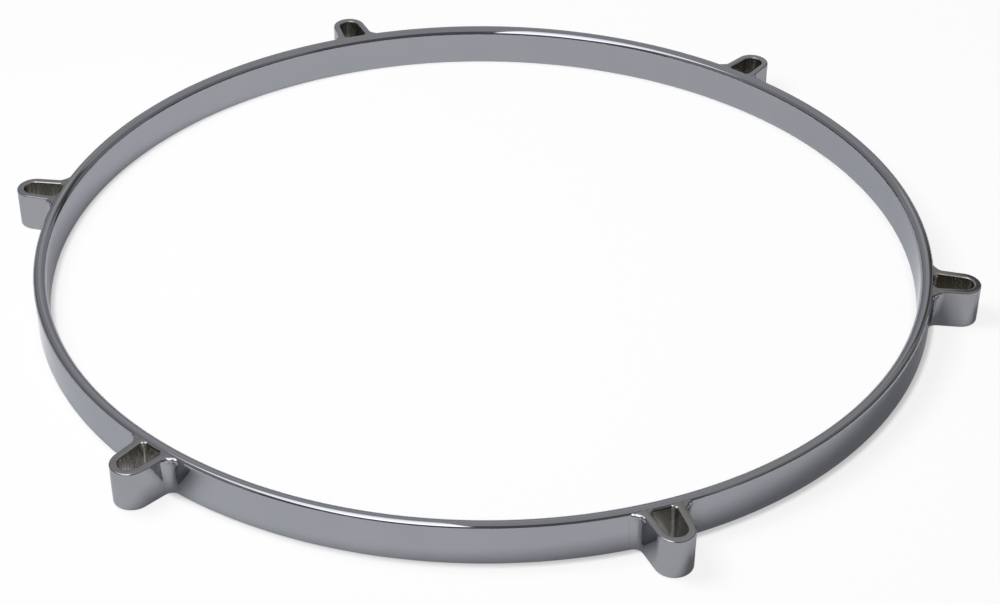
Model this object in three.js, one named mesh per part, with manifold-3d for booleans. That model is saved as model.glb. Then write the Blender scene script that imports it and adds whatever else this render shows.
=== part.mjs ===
// A drum hoop: steel bar rolled on edge into a ring and butt welded, with tension-rod ears bent
// from strip and fillet welded round its outside, all chrome plated.
// Millimetres, +Z up. The origin is the middle of the hoop on the plane of its lower edge, and
// the first ear points along +X.

import * as THREE from 'three';
import { mergeVertices } from 'three/addons/utils/BufferGeometryUtils.js';
import Module from 'manifold-3d';

// The rolled bar: its inside clears the drum shell and its lower edge bears on the drumhead's
// flesh hoop. Its upper edge is crowned, rounded more on the inside where the sticks and hands
// meet it, and its lower edges are only eased.
const hoopInnerDiameter = 358.8;
const barThickness = 5.3;
const barHeight = 17.5;
const crownInnerRadius = 3.3;
const crownOuterRadius = 1.9;
const lowerEdgeRadius = 0.6;

// The butt weld that closes the ring, ground flush with the bar.
const seamWidth = 2.4;

// The ears: strip stood on edge, level with the bar's lower edge, and bent round the tension rod
// with legs that spread toward the bar.
const earCount = 6;
const rodDiameter = 7.9;
const rodClearance = 0.4;
const rodStandoff = 11.4;
const stripWidth = 16.9;
const stripThickness = 3;
const stripEdgeRadius = 0.5;
const legFlare = THREE.MathUtils.degToRad(4);

// The fillet welds in the outer corners between the legs and the bar.
const weldLegLength = 3.4;
const weldToeThickness = 0.5;
const weldHollow = 0.3;
const weldEndInset = 0.5;
const weldEndRadius = 0.3;

// Parts that are seated on each other keep this gap between their faces.
const seatGap = 0.3;

// Cuts run past the faces they open by this much.
const cutOverrun = 2;

// One edge's rounding takes at most this share of its wall's thickness, and the crown's two
// roundings together at most this share of the bar's.
const largestRoundingShare = 0.45;
const largestCrownShare = 0.985;

// Middle of the seam, in ear pitches from the first ear: midway between the second and third.
const seamPitchShare = 1.5;

// How finely round stretches are drawn.
const ringSteps = 120;
const cornerSteps = 3;
const crownSteps = 6;
const noseSteps = 12;
const edgeSteps = 2;
const weldFaceSteps = 5;

const barInnerRadius = hoopInnerDiameter / 2;
const barOuterRadius = barInnerRadius + barThickness;
const barMiddleRadius = (barInnerRadius + barOuterRadius) / 2;
const lowerRadius = Math.min(lowerEdgeRadius, barThickness * largestRoundingShare);
const crownWidth = crownInnerRadius + crownOuterRadius;
const crownFit = Math.min(1, (barThickness * largestCrownShare) / crownWidth);

const earPitch = (2 * Math.PI) / earCount;
const noseInnerRadius = rodDiameter / 2 + rodClearance;
const noseOuterRadius = noseInnerRadius + stripThickness;
const rodCircleRadius = barOuterRadius + rodStandoff;
const edgeRadius = Math.min(stripEdgeRadius, stripThickness * largestRoundingShare);
const seatRadius = barOuterRadius + seatGap;

const wasm = await Module();
wasm.setup();

// Chrome as each formed piece shows it: the bar smooth, the strip a little duller at its bends,
// the weld metal rougher under the plating.
function chrome(colour, roughness) {
  return new THREE.MeshStandardMaterial({ color: colour, roughness, metalness: 1 });
}

function named(name, geometry, material) {
  const mesh = new THREE.Mesh(geometry, material);
  mesh.name = name;
  return mesh;
}

function toSolid(geometry) {
  const bare = geometry.clone();
  bare.deleteAttribute('normal');
  bare.deleteAttribute('uv');
  const merged = mergeVertices(bare);
  return new wasm.Manifold(new wasm.Mesh({
    numProp: 3,
    vertProperties: Float32Array.from(merged.attributes.position.array),
    triVerts: Uint32Array.from(merged.index.array),
  }));
}

function toGeometry(solid) {
  const { vertProperties, triVerts } = solid.getMesh();
  const geometry = new THREE.BufferGeometry();
  geometry.setAttribute('position', new THREE.BufferAttribute(vertProperties, 3));
  geometry.setIndex(new THREE.BufferAttribute(triVerts, 1));
  return geometry;
}

// A quarter turn of one of the bar's edges in lathe points, which are (radius, height). The side
// is 1 on the outer face and -1 on the inner one, and the quarter begins at the given angle.
function quarterTurn(side, edgeHeight, rounding, start, steps) {
  const face = side > 0 ? barOuterRadius : barInnerRadius;
  const points = [];
  for (let step = 0; step <= steps; step += 1) {
    const angle = start + (step / steps) * (Math.PI / 2);
    points.push(new THREE.Vector2(
      face - side * rounding + rounding * Math.cos(angle),
      edgeHeight + rounding * Math.sin(angle),
    ));
  }
  return points;
}

// The bar's section, closed on itself. It runs up the outer face and down the inner one.
function barSection() {
  const outerCrown = crownOuterRadius * crownFit;
  const innerCrown = crownInnerRadius * crownFit;
  const points = [
    ...quarterTurn(1, lowerRadius, lowerRadius, -Math.PI / 2, cornerSteps),
    ...quarterTurn(1, barHeight - outerCrown, outerCrown, 0, crownSteps),
    ...quarterTurn(-1, barHeight - innerCrown, innerCrown, Math.PI / 2, crownSteps),
    ...quarterTurn(-1, lowerRadius, lowerRadius, Math.PI, cornerSteps),
  ];
  points.push(points[0].clone());
  return points;
}

function closedRing() {
  const ring = new THREE.LatheGeometry(barSection(), ringSteps);
  ring.rotateX(Math.PI / 2);
  return toSolid(ring);
}

// A slab across the bar at the seam, as wide as the butt weld or the opening for it.
function seamSlab(width) {
  const depth = barThickness + 2 * cutOverrun;
  const slab = new THREE.BoxGeometry(depth, width, barHeight + 2 * cutOverrun);
  slab.translate(barMiddleRadius, 0, barHeight / 2);
  slab.rotateZ(seamPitchShare * earPitch);
  return toSolid(slab);
}

// In plan an ear's nose is centred on the rod, and each leg leaves it as a tangent that spreads
// by the flare angle. This gives the place where the tangent of an arc round the rod reaches a
// circle round the hoop's middle; side is 1 or -1.
function legEnd(arcRadius, circleRadius, side) {
  const tangent = new THREE.Vector2(
    rodCircleRadius + arcRadius * Math.sin(legFlare),
    arcRadius * Math.cos(legFlare),
  );
  const along = rodCircleRadius * Math.cos(legFlare);
  const reach = along - Math.sqrt(along ** 2 - tangent.lengthSq() + circleRadius ** 2);
  return new THREE.Vector2(
    tangent.x - reach * Math.cos(legFlare),
    side * (tangent.y + reach * Math.sin(legFlare)),
  );
}

// The strip's plan: out along the nose's outer arc to the end of one leg, back round the rod's
// side, and across the end of the other leg.
function earOutline() {
  const noseAngle = Math.PI / 2 - legFlare;
  const ends = [
    legEnd(noseOuterRadius, seatRadius, 1),
    legEnd(noseInnerRadius, seatRadius, 1),
    legEnd(noseInnerRadius, seatRadius, -1),
    legEnd(noseOuterRadius, seatRadius, -1),
  ];
  const outline = new THREE.Shape();
  outline.absarc(rodCircleRadius, 0, noseOuterRadius, -noseAngle, noseAngle, false);
  outline.lineTo(ends[0].x, ends[0].y);
  outline.lineTo(ends[1].x, ends[1].y);
  outline.absarc(rodCircleRadius, 0, noseInnerRadius, noseAngle, -noseAngle, true);
  outline.lineTo(ends[2].x, ends[2].y);
  outline.lineTo(ends[3].x, ends[3].y);
  outline.closePath();
  return outline;
}

// Raises an outline into an upright piece between two heights, with its end edges rounded
// inside the outline.
function upright(outline, bottom, top, rounding, curveSegments) {
  const piece = new THREE.ExtrudeGeometry(outline, {
    depth: top - bottom - 2 * rounding,
    bevelEnabled: true,
    bevelThickness: rounding,
    bevelSize: rounding,
    bevelOffset: -rounding,
    bevelSegments: edgeSteps,
    curveSegments,
  });
  piece.translate(0, 0, bottom + rounding);
  return piece;
}

// A fillet weld's section: it stands off the leg and the bar by the seat gap and runs the weld's
// leg length along each of them, to a blunt toe. Its open face is drawn in toward the corner.
function weldOutline(side) {
  const corner = legEnd(noseOuterRadius + seatGap, seatRadius, side);
  const alongLeg = new THREE.Vector2(Math.cos(legFlare), -side * Math.sin(legFlare));
  const offLeg = new THREE.Vector2(Math.sin(legFlare), side * Math.cos(legFlare));
  const offBar = corner.clone().normalize();
  const alongBar = new THREE.Vector2(-side * offBar.y, side * offBar.x);
  const legToe = corner.clone().addScaledVector(alongLeg, weldLegLength);
  const barToe = corner.clone().addScaledVector(alongBar, weldLegLength);
  const legEdge = legToe.clone().addScaledVector(offLeg, weldToeThickness);
  const barEdge = barToe.clone().addScaledVector(offBar, weldToeThickness);
  const middle = legEdge.clone().lerp(barEdge, 0.5);
  const inward = corner.clone().sub(middle).normalize();
  const pull = middle.clone().addScaledVector(inward, 2 * weldHollow);
  const outline = new THREE.Shape();
  outline.moveTo(corner.x, corner.y);
  outline.lineTo(legToe.x, legToe.y);
  outline.lineTo(legEdge.x, legEdge.y);
  outline.quadraticCurveTo(pull.x, pull.y, barEdge.x, barEdge.y);
  outline.lineTo(barToe.x, barToe.y);
  outline.closePath();
  return outline;
}

function fillet(side) {
  const top = stripWidth - weldEndInset;
  return upright(weldOutline(side), weldEndInset, top, weldEndRadius, weldFaceSteps);
}

function hoopBand() {
  const band = closedRing().subtract(seamSlab(seamWidth + 2 * seatGap));
  return named('hoop_band', toGeometry(band), chrome(0x9b9ca3, 0.08));
}

function hoopSeamWeld() {
  const weld = closedRing().intersect(seamSlab(seamWidth));
  return named('hoop_seam_weld', toGeometry(weld), chrome(0x9b9ca3, 0.12));
}

function ear(number) {
  const group = new THREE.Group();
  group.rotation.z = (number - 1) * earPitch;
  const strip = upright(earOutline(), 0, stripWidth, edgeRadius, noseSteps);
  group.add(named(`ear_${number}`, strip, chrome(0x98999f, 0.1)));
  group.add(named(`ear_${number}_weld_left`, fillet(-1), chrome(0x9a9ca4, 0.22)));
  group.add(named(`ear_${number}_weld_right`, fillet(1), chrome(0x9a9ca4, 0.22)));
  return group;
}

const hoop = new THREE.Group();
hoop.add(hoopBand(), hoopSeamWeld());
for (let number = 1; number <= earCount; number += 1) {
  hoop.add(ear(number));
}

export default hoop;
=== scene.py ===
import math
import random

import bmesh
import bpy
from mathutils import Matrix, Vector, noise


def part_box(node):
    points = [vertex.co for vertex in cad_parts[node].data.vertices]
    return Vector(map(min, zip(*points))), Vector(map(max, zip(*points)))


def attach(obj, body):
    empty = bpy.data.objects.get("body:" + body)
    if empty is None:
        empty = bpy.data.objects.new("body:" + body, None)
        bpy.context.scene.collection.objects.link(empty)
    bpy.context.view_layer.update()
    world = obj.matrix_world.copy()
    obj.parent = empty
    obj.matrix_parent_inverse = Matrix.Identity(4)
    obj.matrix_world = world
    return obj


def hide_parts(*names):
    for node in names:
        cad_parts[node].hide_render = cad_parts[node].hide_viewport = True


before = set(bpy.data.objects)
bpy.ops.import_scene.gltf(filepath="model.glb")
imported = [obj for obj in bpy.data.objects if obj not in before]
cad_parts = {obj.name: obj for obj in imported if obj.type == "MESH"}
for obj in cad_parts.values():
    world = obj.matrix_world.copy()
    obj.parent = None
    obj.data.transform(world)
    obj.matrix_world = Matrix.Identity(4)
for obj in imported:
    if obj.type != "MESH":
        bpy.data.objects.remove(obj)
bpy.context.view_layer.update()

# A chrome-plated drum hoop: a bar rolled into a ring, six ears bent from strip and welded round
# its outside, lying on a pale floor. Metres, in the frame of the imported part.
MM = 0.001

# Sizes of the bar, the outer ones taken from the part. The crown is the rounding of its upper
# edge, which is larger on the inside.
band_low, band_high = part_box("hoop_band")
BAR_OUTER = (band_high.x - band_low.x) / 2
BAR_HEIGHT = band_high.z - band_low.z
BAR_THICKNESS = 5.3 * MM
BAR_INNER = BAR_OUTER - BAR_THICKNESS
BAR_MIDDLE = BAR_OUTER - BAR_THICKNESS / 2
CROWN_INNER = 3.3 * MM
CROWN_OUTER = 1.9 * MM
LOWER_EDGE = 0.6 * MM

# The butt weld that closes the ring, as angles round the hoop.
seam_low, seam_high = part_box("hoop_seam_weld")
SEAM_ANGLE = math.atan2(seam_low.y + seam_high.y, seam_low.x + seam_high.x)
SEAM_SPAN = (seam_high.x - seam_low.x) / BAR_MIDDLE

# Sizes of an ear: strip bent round a tension rod, with legs that spread toward the bar and run
# a little way into it.
ear_low, ear_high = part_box("ear_1")
EAR_COUNT = 6
EAR_PITCH = 2 * math.pi / EAR_COUNT
STRIP_WIDTH = ear_high.z - ear_low.z
STRIP_THICKNESS = 3.0 * MM
STRIP_EDGE = 0.7 * MM
NOSE_INNER = 4.35 * MM
NOSE_OUTER = NOSE_INNER + STRIP_THICKNESS
ROD_CIRCLE = ear_high.x - NOSE_OUTER
LEG_FLARE = math.radians(4)
LEG_SINK = 1.4 * MM

# Sizes of the fillet welds. The one inside a loop only just closes the root of the joint, and its
# rounded upper end is half the size. The back of a weld is sunk into the bar and the leg, its
# toes stand off them by the lift, and its ends stop short of the strip's edges by the level gap.
WELD_LEG = 4.2 * MM
ROOT_LEG = 1.7 * MM
WELD_SINK = 1.2 * MM
WELD_LIFT = 0.03 * MM
WELD_TOP_DEPTH = 2.2 * MM
WELD_TOP_ROUND = 1.2 * MM
WELD_LEVEL_GAP = 0.06 * MM
WELD_FOOT = WELD_LEVEL_GAP
WELD_TOP = STRIP_WIDTH - WELD_LEVEL_GAP

# A weld's leg at its foot, as a share of that at its top, and how much of its hollow is filled
# out at the top.
WELD_FOOT_SHARE = 0.78
WELD_FILLED_SHARE = 0.5

# Lumps along a weld's upper edge: how far the tallest stands out, and how many there are outside
# and inside the loop. A lump's middle strays and its half width varies by shares of the room that
# it has, and its height is a share of the tallest. The lumps stand out most at a share of the
# depth over which the weld's top is rounded, and fade above and below over another share of it.
# The roundness is the power that shapes a lump's profile.
WELD_LUMP = 0.52 * MM
OUTER_LUMPS = 3
ROOT_LUMPS = 2
LUMP_STRAY_SHARE = 0.18
LUMP_HALF_WIDTH_SHARES = (0.42, 0.62)
LUMP_HEIGHT_SHARES = (0.55, 1.0)
LUMP_DEPTH_SHARE = 0.5
LUMP_FADE_SHARE = 0.4
LUMP_ROUNDNESS = 0.8

# Ripples in a weld's face: how high they are, and how long across the face and up it. The fine
# ones are a share as high. Each weld reads the noise at a shift of its own, and its fine ripples
# a step further on.
WELD_RIPPLE = 0.09 * MM
LONG_RIPPLE = (0.9 * MM, 9 * MM)
FINE_RIPPLE = (0.5 * MM, 1.3 * MM)
FINE_RIPPLE_SHARE = 0.4
FINE_RIPPLE_SHIFT = 9
LARGEST_SHIFT = 50

# How finely round stretches are drawn, how near two vertices are joined, from what angle an edge
# is sharp, and how much large faces count in the shading, out of 100.
RING_STEPS = 358
SEAM_STEPS = 2
EDGE_STEPS = 6
CROWN_OUTER_STEPS = 14
CROWN_INNER_STEPS = 16
BEND_STEPS = 48
WELD_END_STEPS = 10
WELD_MIDDLE_STEPS = 22
WELD_FACE_CUTS = 31
MERGE_DISTANCE = 0.0002 * MM
SHARP_EDGE = math.radians(40)
EVEN_WALL_WEIGHT = 80

# The camera, in a frame turned so that it stands straight in front of the hoop.
CAMERA_TURN = math.radians(10.23)
CAMERA_PLACE = Vector((0, -735.10 * MM, 498.18 * MM))
CAMERA_AIM = Vector((6.487 * MM, -25.438 * MM, 0))
CAMERA_ROLL = math.radians(0.5285)
CAMERA_LENS = 76.031
CAMERA_SENSOR = 36.0
CAMERA_NEAREST = 10 * MM


def seen_from_camera(place):
    """A place given with the camera straight in front, turned into the part's frame."""
    return Matrix.Rotation(CAMERA_TURN, 3, "Z") @ Vector(place)


# Recipes of nodes

class Recipe:
    """The nodes of one material, lamp or sky."""

    def __init__(self, tree):
        self.nodes = tree.nodes
        self.links = tree.links
        self.nodes.clear()

    def feed(self, socket, value):
        """Gives an input a socket to follow, a colour or a number."""
        if isinstance(value, bpy.types.NodeSocket):
            self.links.new(value, socket)
        elif socket.type == "RGBA":
            socket.default_value = (*value, 1)
        else:
            socket.default_value = value

    def add(self, kind, inputs=None, **settings):
        """Adds a node, sets it and feeds its inputs, which go by name or place."""
        node = self.nodes.new("ShaderNode" + kind)
        for key, value in settings.items():
            setattr(node, key, value)
        for key, value in (inputs or {}).items():
            self.feed(node.inputs[key], value)
        return node

    def number(self, operation, first, second=None, clamp=False):
        """One sum on numbers, each a socket or a plain one."""
        inputs = {0: first} if second is None else {0: first, 1: second}
        return self.add("Math", inputs, operation=operation, use_clamp=clamp).outputs[0]

    def parts_of(self, vector):
        """The three numbers of a vector."""
        return self.add("SeparateXYZ", {0: vector}).outputs[:]

    def distance(self, x, y):
        """The straight distance that two numbers at right angles make."""
        flat = self.add("CombineXYZ", {"X": x, "Y": y}).outputs[0]
        return self.add("VectorMath", {0: flat}, operation="LENGTH").outputs["Value"]

    def spread(self, value, low, high, to_low=0.0, to_high=1.0, kind="LINEAR"):
        """A number that goes between two others as the value goes from low to high."""
        inputs = {"Value": value, "From Min": low, "From Max": high,
                  "To Min": to_low, "To Max": to_high}
        return self.add("MapRange", inputs, interpolation_type=kind).outputs[0]

    def blend(self, share, low, high):
        """A colour that goes from low to high as the share goes from 0 to 1. A Mix node's colours
        are its inputs 6 and 7 and its output 2."""
        return self.add("Mix", {0: share, 6: low, 7: high}, data_type="RGBA").outputs[2]

    def cloud(self, vector, scale, detail=2.0):
        """Soft noise with so many waves to the metre."""
        inputs = {"Vector": vector, "Scale": scale, "Detail": detail}
        return self.add("TexNoise", inputs).outputs["Fac"]

    def drawn_up(self, place, share):
        """Coordinates that change slowly with the height, so that noise on them runs up and
        down."""
        inputs = {"Vector": place, "Scale": (1, 1, share)}
        return self.add("Mapping", inputs).outputs[0]


def new_material(name):
    material = bpy.data.materials.new(name)
    material.use_nodes = True
    return material, Recipe(material.node_tree)


# Chrome

# The plate inside an ear's loop: its painted light, a colour lighter than the plate outside that
# stands in for the light reaching into the loop, the colour of its amber streaks, how much noise
# there is where a streak starts and is full, and how much rougher it is than the plate outside.
LOOP_PAINTED_LIGHT = (0.45, 0.443, 0.425)
AMBER_STREAK = (0.37, 0.32, 0.24)
STREAK_STARTS = 0.42
STREAK_FULL = 0.74
LOOP_ROUGHER = 0.2

# The loop's painted light and rougher finish reach this far into the metal of the strip and of the
# bar, and end this far below the strip's upper edge.
LOOP_INTO_STRIP = 0.45 * MM
LOOP_INTO_BAR = 0.4 * MM
LOOP_BELOW_TOP = 0.2 * MM

# The tint of chrome that is seen at a slant.
EDGE_TINT = (0.74, 0.75, 0.78)

# Waves to the metre of the plate's patches, soft swells, polish lines and amber streaks, and the
# range in which most of the polish noise lies.
PATCH_WAVES = 38
SWELL_WAVES = 90
POLISH_WAVES = 2600
STREAK_WAVES = 110
POLISH_LOW = 0.3
POLISH_HIGH = 0.7

# How slowly a pattern changes along its lines: metres for each radian round the hoop, and shares
# of the height on the ears and welds.
LINES_ROUND_HOOP = 0.004
LINES_UP_SHARE = 0.06
STREAKS_UP_SHARE = 0.12


def rolled_lines(recipe, place):
    """Coordinates that change fast across the bar and slowly along it, so that noise on them
    draws the fine lengthwise lines of rolling and polishing."""
    x, y, z = recipe.parts_of(place)
    turn = recipe.number("ARCTAN2", y, x)
    along = recipe.number("MULTIPLY", turn, LINES_ROUND_HOOP)
    across = recipe.distance(x, y)
    return recipe.add("CombineXYZ", {"X": across, "Y": along, "Z": z}).outputs[0]


# This mask marks where the loop's painted light and rougher finish go, and where the polish lines
# stop.
def inside_a_loop(recipe, place):
    """1 on faces that look into an ear's loop, 0 on all others. The hoop is folded onto one ear,
    and the distance is taken there from the line that runs from the bar out to the rod. On the
    bar's side of the rod the line widens as the legs flare."""
    x, y, height = recipe.parts_of(place)
    radius = recipe.distance(x, y)
    pitches = recipe.number("DIVIDE", recipe.number("ARCTAN2", y, x), EAR_PITCH)
    off_ear = recipe.number("SUBTRACT", pitches, recipe.number("ROUND", pitches))
    turn = recipe.number("MULTIPLY", off_ear, EAR_PITCH)
    out = recipe.number("MULTIPLY", radius, recipe.number("COSINE", turn))
    aside = recipe.number("MULTIPLY", radius, recipe.number("SINE", turn))
    past_rod = recipe.number("SUBTRACT", out, ROD_CIRCLE)
    beyond = recipe.number("MAXIMUM", past_rod, 0.0)
    before = recipe.number("MINIMUM", past_rod, 0.0)
    flared = recipe.number("MULTIPLY", before, math.tan(LEG_FLARE))
    beside = recipe.number("ADD", recipe.number("ABSOLUTE", aside), flared)
    off_line = recipe.distance(beyond, beside)
    within = recipe.number("LESS_THAN", off_line, NOSE_INNER + LOOP_INTO_STRIP)
    outside = recipe.number("GREATER_THAN", radius, BAR_OUTER - LOOP_INTO_BAR)
    below = recipe.number("LESS_THAN", height, STRIP_WIDTH - LOOP_BELOW_TOP)
    return recipe.number("MULTIPLY", recipe.number("MULTIPLY", within, outside), below)


def painted_loop_light(recipe, place):
    """Painted light inside a loop, lighter than the plate outside, with amber streaks up and down.
    """
    runs = recipe.cloud(recipe.drawn_up(place, STREAKS_UP_SHARE), STREAK_WAVES, detail=0.5)
    return recipe.blend(recipe.spread(runs, STREAK_STARTS, STREAK_FULL), LOOP_PAINTED_LIGHT, AMBER_STREAK)


def polished_surface(recipe, place, polish, inside, swell_height, line_height):
    """Soft swells with the fine lines of the polish on them. No wheel reaches into the loops, so
    the lines are left out there."""
    swells = recipe.add("Bump", {"Height": recipe.cloud(place, SWELL_WAVES), "Strength": 1.0,
                                 "Distance": swell_height})
    reached = recipe.number("SUBTRACT", 1.0, inside)
    lines = recipe.add("Bump", {"Height": polish, "Strength": reached, "Distance": line_height,
                                "Normal": swells.outputs[0]})
    return lines.outputs[0]


def chrome(name, shades, gloss, swell_height, line_height, lined_round_hoop=False):
    """Chrome plate over steel. shades are the plating's darker and lighter patches, gloss its
    lowest and highest roughness, and the heights are those of the swells in it and of the lines
    of the polish, which run round the hoop or up and down."""
    material, recipe = new_material(name)
    place = recipe.add("TexCoord").outputs["Object"]
    inside = inside_a_loop(recipe, place)
    if lined_round_hoop:
        lengthwise = rolled_lines(recipe, place)
    else:
        lengthwise = recipe.drawn_up(place, LINES_UP_SHARE)
    polish = recipe.cloud(lengthwise, POLISH_WAVES, detail=3.0)
    plate = recipe.blend(recipe.cloud(place, PATCH_WAVES, detail=3.0), *shades)
    polished = recipe.spread(polish, POLISH_LOW, POLISH_HIGH, *gloss)
    duller = recipe.number("MULTIPLY", inside, LOOP_ROUGHER)
    # Inside a loop the base colour is painted light, lighter than the plate outside, with amber
    # streaks.
    shader = recipe.add("BsdfPrincipled", {
        "Base Color": recipe.blend(inside, plate, painted_loop_light(recipe, place)),
        "Metallic": 1.0,
        "Roughness": recipe.number("ADD", polished, duller),
        "Specular Tint": EDGE_TINT,
        "Normal": polished_surface(recipe, place, polish, inside, swell_height, line_height),
    })
    recipe.add("OutputMaterial", {"Surface": shader.outputs[0]})
    return material


def bar_chrome():
    """The rolled bar's plate: the smoothest, with its lines running round the hoop."""
    return chrome("bar_chrome", ((0.312, 0.320, 0.354), (0.340, 0.348, 0.378)),
                  gloss=(0.045, 0.075), swell_height=0.012 * MM, line_height=0.0006 * MM,
                  lined_round_hoop=True)


def strip_chrome():
    """The ears' plate: a little duller and wavier, because the strip was bent."""
    return chrome("strip_chrome", ((0.302, 0.306, 0.330), (0.336, 0.340, 0.362)),
                  gloss=(0.055, 0.09), swell_height=0.016 * MM, line_height=0.0006 * MM)


def weld_chrome():
    """The plate over weld metal: the roughest, with patches that differ most."""
    return chrome("weld_chrome", ((0.300, 0.305, 0.328), (0.350, 0.355, 0.375)),
                  gloss=(0.06, 0.11), swell_height=0.02 * MM, line_height=0.001 * MM)


# The hoop's pieces

def piece(name, bm, finish, node):
    """Turns a bmesh into a piece of the hoop that stands for a CAD node."""
    bmesh.ops.remove_doubles(bm, verts=bm.verts[:], dist=MERGE_DISTANCE)
    bmesh.ops.recalc_face_normals(bm, faces=bm.faces[:])
    mesh = bpy.data.meshes.new(name)
    bm.to_mesh(mesh)
    bm.free()
    mesh.shade_smooth()
    mesh.set_sharp_from_angle(angle=SHARP_EDGE)
    mesh.materials.append(finish)
    made = bpy.data.objects.new(name, mesh)
    bpy.context.scene.collection.objects.link(made)
    shading = made.modifiers.new("even_walls", "WEIGHTED_NORMAL")
    shading.keep_sharp = True
    shading.weight = EVEN_WALL_WEIGHT
    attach(made, "root")
    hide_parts(node)


def rounded_oblong(bm, inside, outside, height, roundings):
    """An upright oblong in the XZ plane. Its corners are rounded by radius and number of steps,
    given for the lower inside, the lower outside, the upper outside and the upper inside."""
    places = [(inside, 0), (outside, 0), (outside, height), (inside, height)]
    corners = [bm.verts.new((x, 0, z)) for x, z in places]
    bm.faces.new(corners)
    for corner, (radius, steps) in zip(corners, roundings):
        bmesh.ops.bevel(bm, geom=[corner], offset=radius, offset_type="OFFSET", segments=steps,
                        profile=0.5, affect="VERTICES", material=-1)


def turn_round_axis(bm, angle):
    bmesh.ops.rotate(bm, verts=bm.verts[:], cent=(0, 0, 0), matrix=Matrix.Rotation(angle, 3, "Z"))


def sweep_round_axis(bm, start, span, steps):
    """Sweeps a section about the upright axis, from one angle on, and closes both ends."""
    turn_round_axis(bm, start)
    section = bm.verts[:] + bm.edges[:] + bm.faces[:]
    bmesh.ops.spin(bm, geom=section, cent=(0, 0, 0), axis=(0, 0, 1), dvec=(0, 0, 0),
                   angle=span, steps=steps, use_merge=False, use_duplicate=False)


def arc_of_bar(name, start, span, steps, finish, node):
    """A stretch of the rolled bar, from one angle round the hoop."""
    bm = bmesh.new()
    rounded_oblong(bm, BAR_INNER, BAR_OUTER, BAR_HEIGHT, [
        (LOWER_EDGE, EDGE_STEPS), (LOWER_EDGE, EDGE_STEPS),
        (CROWN_OUTER, CROWN_OUTER_STEPS), (CROWN_INNER, CROWN_INNER_STEPS)])
    sweep_round_axis(bm, start, span, steps)
    piece(name, bm, finish, node)


def rolled_bar(finish):
    arc_of_bar("hoop_bar", SEAM_ANGLE + SEAM_SPAN / 2, 2 * math.pi - SEAM_SPAN, RING_STEPS,
               finish, "hoop_band")


def butt_weld(finish):
    arc_of_bar("hoop_bar_seam", SEAM_ANGLE - SEAM_SPAN / 2, SEAM_SPAN, SEAM_STEPS,
               finish, "hoop_seam_weld")


def toward_bar(side):
    """The way a leg of the first ear runs; side is 1 or -1."""
    return Vector((-math.cos(LEG_FLARE), side * math.sin(LEG_FLARE), 0))


def leg_reach(arc_radius, circle_radius):
    """How far a leg runs in from its bend to a circle round the hoop's middle, measured along
    the tangent of an arc round the rod."""
    across = arc_radius * math.cos(LEG_FLARE)
    out = ROD_CIRCLE + arc_radius * math.sin(LEG_FLARE)
    along = ROD_CIRCLE * math.cos(LEG_FLARE)
    return along - math.sqrt(along ** 2 - across ** 2 - out ** 2 + circle_radius ** 2)


def leg_place(arc_radius, circle_radius, side):
    """Where that leg's face meets the circle, in the first ear's plan."""
    reach = leg_reach(arc_radius, circle_radius)
    return Vector((
        ROD_CIRCLE + arc_radius * math.sin(LEG_FLARE) - reach * math.cos(LEG_FLARE),
        side * (arc_radius * math.cos(LEG_FLARE) + reach * math.sin(LEG_FLARE)),
        0,
    ))


def draw_out(bm, face, shift):
    """Extrudes one face along a straight line and gives back the face at its end. The edges go
    with the face, so that it moves out and isn't left behind inside the metal."""
    grown = bmesh.ops.extrude_face_region(bm, geom=[face, *face.edges])["geom"]
    moved = [v for v in grown if isinstance(v, bmesh.types.BMVert)]
    bmesh.ops.translate(bm, verts=moved, vec=shift)
    return next(f for f in grown if isinstance(f, bmesh.types.BMFace))


def bent_ear(ear, finish):
    """Strip bent round the rod's axis, each leg run straight on into the bar."""
    bm = bmesh.new()
    rounded_oblong(bm, NOSE_INNER, NOSE_OUTER, STRIP_WIDTH, [(STRIP_EDGE, EDGE_STEPS)] * 4)
    half_bend = math.pi / 2 - LEG_FLARE
    sweep_round_axis(bm, -half_bend, 2 * half_bend, BEND_STEPS)
    bmesh.ops.translate(bm, verts=bm.verts[:], vec=(ROD_CIRCLE, 0, 0))
    reach = leg_reach(NOSE_OUTER, BAR_OUTER - LEG_SINK)
    # Only the two ends of the bend have more than four corners.
    ends = [face for face in bm.faces if len(face.verts) > 4]
    for end in ends:
        side = 1 if end.calc_center_median().y > 0 else -1
        draw_out(bm, end, toward_bar(side) * reach)
    turn_round_axis(bm, (ear - 1) * EAR_PITCH)
    piece(f"ear_{ear}_strip", bm, finish, f"ear_{ear}")


def weld_lumps(dice, count):
    """Middles, half widths and heights of the lumps along a weld's upper edge, as shares."""
    lumps = []
    for step in range(count):
        middle = (step + 0.5 + dice.uniform(-LUMP_STRAY_SHARE, LUMP_STRAY_SHARE)) / count
        half_width = dice.uniform(*LUMP_HALF_WIDTH_SHARES) / count
        lumps.append((middle, half_width, dice.uniform(*LUMP_HEIGHT_SHARES)))
    return lumps


def lump_height(lumps, across):
    """How far the lumps stand out at a place across the weld, as a share of the tallest."""
    tallest = 0.0
    for middle, half_width, height in lumps:
        far = abs(across - middle) / half_width
        if far < 1:
            tallest = max(tallest, height * (1 - far * far) ** LUMP_ROUNDNESS)
    return tallest


def round_over(depth, tall, inward):
    """How far a face has drawn back at a depth below its edge, where the edge is rounded over a
    height and by an amount inward."""
    left = max(1 - depth / tall, 0.0)
    return inward * (1 - math.sqrt(1 - left * left))


def weld_heights(foot_depth, top_depth):
    """Heights at which a weld's face is drawn: evenly up the middle, closer where its foot and its
    top are rounded."""
    steps = range(WELD_END_STEPS + 1)
    quarter = [math.sin(math.pi / 2 * step / WELD_END_STEPS) for step in steps]
    bottom = [WELD_FOOT + foot_depth * (1 - share) for share in reversed(quarter)]
    top = [WELD_TOP - top_depth * (1 - share) for share in quarter]
    rise = top[0] - bottom[-1]
    middle = [bottom[-1] + rise * step / WELD_MIDDLE_STEPS for step in range(1, WELD_MIDDLE_STEPS)]
    return bottom + middle + top


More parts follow.
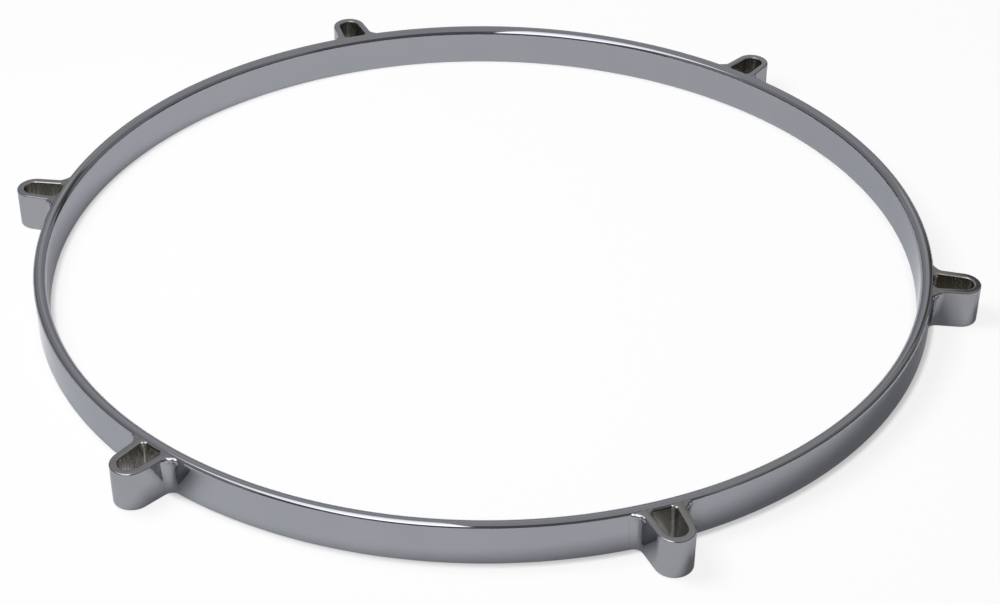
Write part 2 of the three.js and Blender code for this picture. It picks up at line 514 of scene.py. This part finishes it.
class Fillet:
    """A weld in the corner between a leg of the first ear and the bar, outside or inside the
    loop. Places across its face go from 0 at the toe on the leg to 1 at the toe on the bar, which
    lies away from the corner one way round the hoop or the other, 1 or -1."""

    def __init__(self, side, outside, dice):
        outward = 1 if outside else -1
        self.leg = WELD_LEG if outside else ROOT_LEG
        self.top_depth = WELD_TOP_DEPTH if outside else WELD_TOP_DEPTH / 2
        self.top_round = WELD_TOP_ROUND if outside else WELD_TOP_ROUND / 2
        self.foot_round = self.top_round / 2
        self.away = side * outward
        self.corner = leg_place(NOSE_OUTER if outside else NOSE_INNER, BAR_OUTER, side)
        self.along_leg = -toward_bar(side)
        self.off_leg = outward * Vector((math.sin(LEG_FLARE), side * math.cos(LEG_FLARE), 0))
        self.off_bar = self.corner.normalized()
        self.lumps = weld_lumps(dice, OUTER_LUMPS if outside else ROOT_LUMPS)
        self.shift = dice.uniform(0, LARGEST_SHIFT)

    def toes(self, up):
        """Where the face meets the leg and the bar, at a share of the strip's width up."""
        reach = self.leg * (WELD_FOOT_SHARE + (1 - WELD_FOOT_SHARE) * up)
        leg_toe = self.corner + reach * self.along_leg + WELD_LIFT * self.off_leg
        turn = Matrix.Rotation(self.away * reach / BAR_OUTER, 3, "Z")
        bar_toe = turn @ self.corner * (1 + WELD_LIFT / BAR_OUTER)
        return leg_toe, bar_toe

    def ripple(self, across, height, lengths, shift):
        return noise.noise(Vector((across * self.leg / lengths[0], height / lengths[1], shift)))

    def lift(self, across, height):
        """How far the metal stands out from the plain hollow: lumps near the top and ripples
        everywhere, less the rounding of both ends."""
        inner = math.sin(math.pi * across)
        below = WELD_TOP - height
        off_lumps = (below - LUMP_DEPTH_SHARE * self.top_depth) / (LUMP_FADE_SHARE * self.top_depth)
        lump = WELD_LUMP * lump_height(self.lumps, across) * math.exp(-off_lumps ** 2)
        ripple = self.ripple(across, height, LONG_RIPPLE, self.shift)
        ripple += FINE_RIPPLE_SHARE * self.ripple(across, height, FINE_RIPPLE,
                                                  self.shift + FINE_RIPPLE_SHIFT)
        rounding = round_over(below, self.top_depth, self.top_round)
        rounding += round_over(height - WELD_FOOT, self.foot_round, self.foot_round)
        return lump * math.sqrt(inner) + WELD_RIPPLE * inner * ripple - rounding

    def front(self, across, height):
        """A place on the face, on a curve that is drawn in toward the corner."""
        up = height / STRIP_WIDTH
        leg_toe, bar_toe = self.toes(up)
        hollow = 1 - WELD_FILLED_SHARE * up ** 3
        pull = leg_toe.lerp(bar_toe, 0.5).lerp(self.corner, hollow)
        first, second = leg_toe.lerp(pull, across), pull.lerp(bar_toe, across)
        along = (second - first).normalized()
        out = Vector((along.y, -along.x, 0))
        if out.dot(self.off_leg + self.off_bar) < 0:
            out.negate()
        place = first.lerp(second, across) + self.lift(across, height) * out
        place.z = height
        return place

    def plan(self):
        """The two toes at the foot, and three corners sunk into the bar and the leg."""
        leg_toe, bar_toe = self.toes(0)
        into_bar, into_leg = WELD_SINK * self.off_bar, WELD_SINK * self.off_leg
        return [leg_toe, bar_toe, bar_toe - into_bar, self.corner - into_bar - into_leg,
                leg_toe - into_leg]

    def lay(self, bm):
        """Lays the weld into a bmesh. Its flat plan, with the edge between the toes divided
        finely, is drawn up level by level, and each level's front is moved onto the face. The
        layer holds each vertex's place across the face, and is below 0 behind it."""
        share = bm.verts.layers.float.get("across") or bm.verts.layers.float.new("across")
        corners = [bm.verts.new((place.x, place.y, WELD_FOOT)) for place in self.plan()]
        for corner, across in zip(corners, (0, 1, -1, -1, -1)):
            corner[share] = across
        bm.faces.new(corners)
        chord = bm.edges.get((corners[0], corners[1]))
        cut = bmesh.ops.subdivide_edges(bm, edges=[chord], cuts=WELD_FACE_CUTS)["geom_split"]
        level = next(v for v in cut if isinstance(v, bmesh.types.BMVert)).link_faces[0]
        heights = weld_heights(self.foot_round, self.top_depth)
        for height in heights:
            if height > heights[0]:
                level = draw_out(bm, level, Vector((0, 0, 0)))
            for v in level.verts:
                if v[share] < 0:
                    v.co.z = height
                else:
                    v.co = self.front(v[share], height)


def ear_weld(ear, side, side_name, finish):
    """The weld on one leg: a broad fillet outside the loop and a small root inside it."""
    dice = random.Random(100 * ear + side)
    bm = bmesh.new()
    for outside in (True, False):
        Fillet(side, outside, dice).lay(bm)
    turn_round_axis(bm, (ear - 1) * EAR_PITCH)
    piece(f"ear_{ear}_{side_name}_bead", bm, finish, f"ear_{ear}_weld_{side_name}")


# Studio

WHITE = (1, 1, 1)
PAPER = (0.94, 0.94, 0.94)

# How much of the floor's look is pure white: to the camera, right at the foot of the bar and
# clear of it, and in the chrome. The rest is the paper's own shading. The foot ends between two
# distances from the middle of the bar's thickness.
FOOT_WHITE_SHARE = 0.45
CLEAR_WHITE_SHARE = 0.86
MIRRORED_WHITE_SHARE = 0.15
FOOT_NEAR = BAR_THICKNESS / 2 + 0.5 * MM
FOOT_FAR = BAR_THICKNESS / 2 + 3.0 * MM
FLOOR_SIZE = 12
FLOOR_GAP = 0.02 * MM

# How a card stands, as its lean up from the floor and its turn about the vertical in degrees.
ACROSS_THE_VIEW = (90, 0)
ALONG_THE_VIEW = (90, 90)
OVERHEAD = (0, 0)


def studio_air(light):
    """White air that shows as plain white in the picture and in the chrome, and lights things with
    only a share of that."""
    world = bpy.data.worlds.new("studio_air")
    bpy.context.scene.world = world
    world.use_nodes = True
    recipe = Recipe(world.node_tree)
    ray = recipe.add("LightPath").outputs
    mirrored = recipe.number("ADD", ray["Is Glossy Ray"], ray["Is Transmission Ray"])
    seen = recipe.number("ADD", ray["Is Camera Ray"], mirrored, clamp=True)
    strength = recipe.number("ADD", recipe.number("MULTIPLY", seen, 1 - light), light)
    back = recipe.add("Background", {"Color": WHITE, "Strength": strength})
    recipe.add("OutputWorld", {"Surface": back.outputs[0]})


def floor_paper():
    """White paper that shows as the pure white of the backdrop, with a share of its own shading
    left in, so that the hoop's shadow stays on it. The share is larger right at the foot of the
    bar, where the shadow is dark."""
    material, recipe = new_material("floor_paper")
    x, y, _ = recipe.parts_of(recipe.add("TexCoord").outputs["Object"])
    past_middle = recipe.number("SUBTRACT", recipe.distance(x, y), BAR_MIDDLE)
    off_bar = recipe.number("ABSOLUTE", past_middle)
    seen_share = recipe.spread(off_bar, FOOT_NEAR, FOOT_FAR, FOOT_WHITE_SHARE, CLEAR_WHITE_SHARE,
                               kind="SMOOTHSTEP")
    ray = recipe.add("LightPath").outputs
    mirrored = recipe.number("ADD", ray["Is Glossy Ray"], ray["Is Transmission Ray"])
    seen_white = recipe.number("MULTIPLY", ray["Is Camera Ray"], seen_share)
    mirrored_white = recipe.number("MULTIPLY", mirrored, MIRRORED_WHITE_SHARE)
    white_share = recipe.number("ADD", seen_white, mirrored_white, clamp=True)
    paper = recipe.add("BsdfDiffuse", {"Color": PAPER}).outputs[0]
    white = recipe.add("Emission", {"Color": WHITE}).outputs[0]
    mix = recipe.add("MixShader", {0: white_share, 1: paper, 2: white})
    recipe.add("OutputMaterial", {"Surface": mix.outputs[0]})
    return material


def flat_sheet(name, width, depth, material):
    bm = bmesh.new()
    bmesh.ops.create_grid(bm, x_segments=1, y_segments=1, size=0.5)
    bmesh.ops.scale(bm, verts=bm.verts[:], vec=(width, depth, 1))
    mesh = bpy.data.meshes.new(name)
    bm.to_mesh(mesh)
    bm.free()
    mesh.materials.append(material)
    sheet = bpy.data.objects.new(name, mesh)
    bpy.context.scene.collection.objects.link(sheet)
    return sheet


def floor():
    sheet = flat_sheet("floor", FLOOR_SIZE, FLOOR_SIZE, floor_paper())
    sheet.location = (0, 0, -FLOOR_GAP)


def card_colour(name, colour, foot, head):
    """A card's glow, which may change from its foot to its head."""
    material, recipe = new_material(name)
    strength = head
    if foot != head:
        _, rise, _ = recipe.parts_of(recipe.add("TexCoord").outputs["Generated"])
        strength = recipe.spread(rise, 0, 1, foot, head)
    glow = recipe.add("Emission", {"Color": colour, "Strength": strength})
    recipe.add("OutputMaterial", {"Surface": glow.outputs[0]})
    return material


def reflector_card(name, place, size, colour, stance=ACROSS_THE_VIEW, glow=(1.0, 1.0)):
    """A card or wall that shows only in the chrome. Its place is measured from the hoop's middle to
    the right, away from the camera and up. Its size is its width and its height, or its depth
    where it lies overhead. Its glow is the strength at its foot and at its head, and overhead its
    foot is toward the camera."""
    lean, turn = stance
    sheet = flat_sheet(name, *size, card_colour(name, colour, *glow))
    sheet.location = seen_from_camera(place)
    sheet.rotation_euler = (math.radians(lean), 0, math.radians(turn) + CAMERA_TURN)
    sheet.visible_camera = False
    sheet.visible_diffuse = False
    sheet.visible_shadow = False


def key_light(place, size, share):
    """A square lamp that doesn't die away over the distance. It gives the floor below the hoop a
    share of the light in which pure white shows as white. The chrome shows the wide box in its
    place."""
    place = Vector(place)
    lamp = bpy.data.lights.new("key_light", "AREA")
    lamp.shape = "SQUARE"
    lamp.size = size
    lamp.energy = share * math.pi ** 2 * place.length / place.z
    lamp.use_nodes = True
    recipe = Recipe(lamp.node_tree)
    even = recipe.add("LightFalloff", {"Strength": 1.0})
    glow = recipe.add("Emission", {"Strength": even.outputs["Constant"]})
    recipe.add("OutputLight", {"Surface": glow.outputs[0]})
    holder = bpy.data.objects.new("key_light", lamp)
    bpy.context.scene.collection.objects.link(holder)
    holder.location = seen_from_camera(place)
    holder.rotation_euler = (-holder.location).to_track_quat("-Z", "Y").to_euler()
    holder.visible_camera = False
    holder.visible_glossy = False


def walls_and_ceiling():
    """Grey behind and above, slate on the left, a little darker on the right and dark on the
    camera's side, with a darker strip along the foot of the left wall."""
    reflector_card("left_wall", (-2, 0, 1), (4.4, 2), (0.38, 0.37, 0.375), ALONG_THE_VIEW)
    reflector_card("left_foot", (-1.9, 0.7, 0.2), (2.4, 0.4), (0.12, 0.12, 0.125), ALONG_THE_VIEW)
    reflector_card("back_wall", (0, 2.2, 1), (4, 2), (0.47, 0.465, 0.46))
    reflector_card("right_wall", (2, 0, 1), (4.4, 2), (0.34, 0.34, 0.35), ALONG_THE_VIEW)
    reflector_card("camera_wall", (0, -1.6, 1), (4, 2), (0.17, 0.17, 0.175))
    reflector_card("ceiling", (0, 0, 2), (4, 4.4), (0.56, 0.555, 0.55), OVERHEAD)


def things_in_the_room():
    """A dark doorway, an olive screen and a weak light at the back, and a low dark card close by
    on the right."""
    reflector_card("doorway", (1.37, 2.1, 1.5), (1.2, 0.76), (0.14, 0.136, 0.13))
    reflector_card("doorway_foot", (1.7, 2.1, 0.6), (0.54, 1.04), (0.10, 0.094, 0.085))
    reflector_card("olive_screen", (0.53, 2.08, 1.72), (0.47, 0.54), (0.455, 0.45, 0.345))
    reflector_card("back_light", (-0.03, 2.1, 1.2), (1.0, 1.0), (1, 0.99, 0.985),
                   glow=(0.47, 0.78))
    reflector_card("right_dark", (0.62, -0.15, 0.13), (0.7, 0.26), (1, 0.93, 0.78),
                   ALONG_THE_VIEW, glow=(0.10, 0.27))


def studio():
    """A pale floor in a grey room, with a wide soft box overhead at the front left."""
    floor()
    studio_air(light=0.2)
    key_light(place=(-0.31, -0.06, 0.63), size=0.36, share=0.82)
    reflector_card("wide_box", (-0.47, -0.78, 0.83), (0.80, 1.52), WHITE, OVERHEAD,
                   glow=(4.0, 1.9))
    walls_and_ceiling()
    things_in_the_room()


def camera():
    data = bpy.data.cameras.new("camera")
    data.lens = CAMERA_LENS
    data.sensor_width = CAMERA_SENSOR
    data.clip_start = CAMERA_NEAREST
    holder = bpy.data.objects.new("camera", data)
    bpy.context.scene.collection.objects.link(holder)
    place, aim = seen_from_camera(CAMERA_PLACE), seen_from_camera(CAMERA_AIM)
    look = (aim - place).to_track_quat("-Z", "Y").to_matrix().to_4x4()
    holder.matrix_world = Matrix.Translation(place) @ look @ Matrix.Rotation(CAMERA_ROLL, 4, "Z")
    bpy.context.scene.camera = holder


bar_finish = bar_chrome()
strip_finish = strip_chrome()
weld_finish = weld_chrome()

rolled_bar(bar_finish)
butt_weld(bar_finish)
for ear in range(1, EAR_COUNT + 1):
    bent_ear(ear, strip_finish)
    for side, side_name in ((-1, "left"), (1, "right")):
        ear_weld(ear, side, side_name, weld_finish)

studio()
camera()
bpy.context.scene.view_settings.view_transform = "Standard"
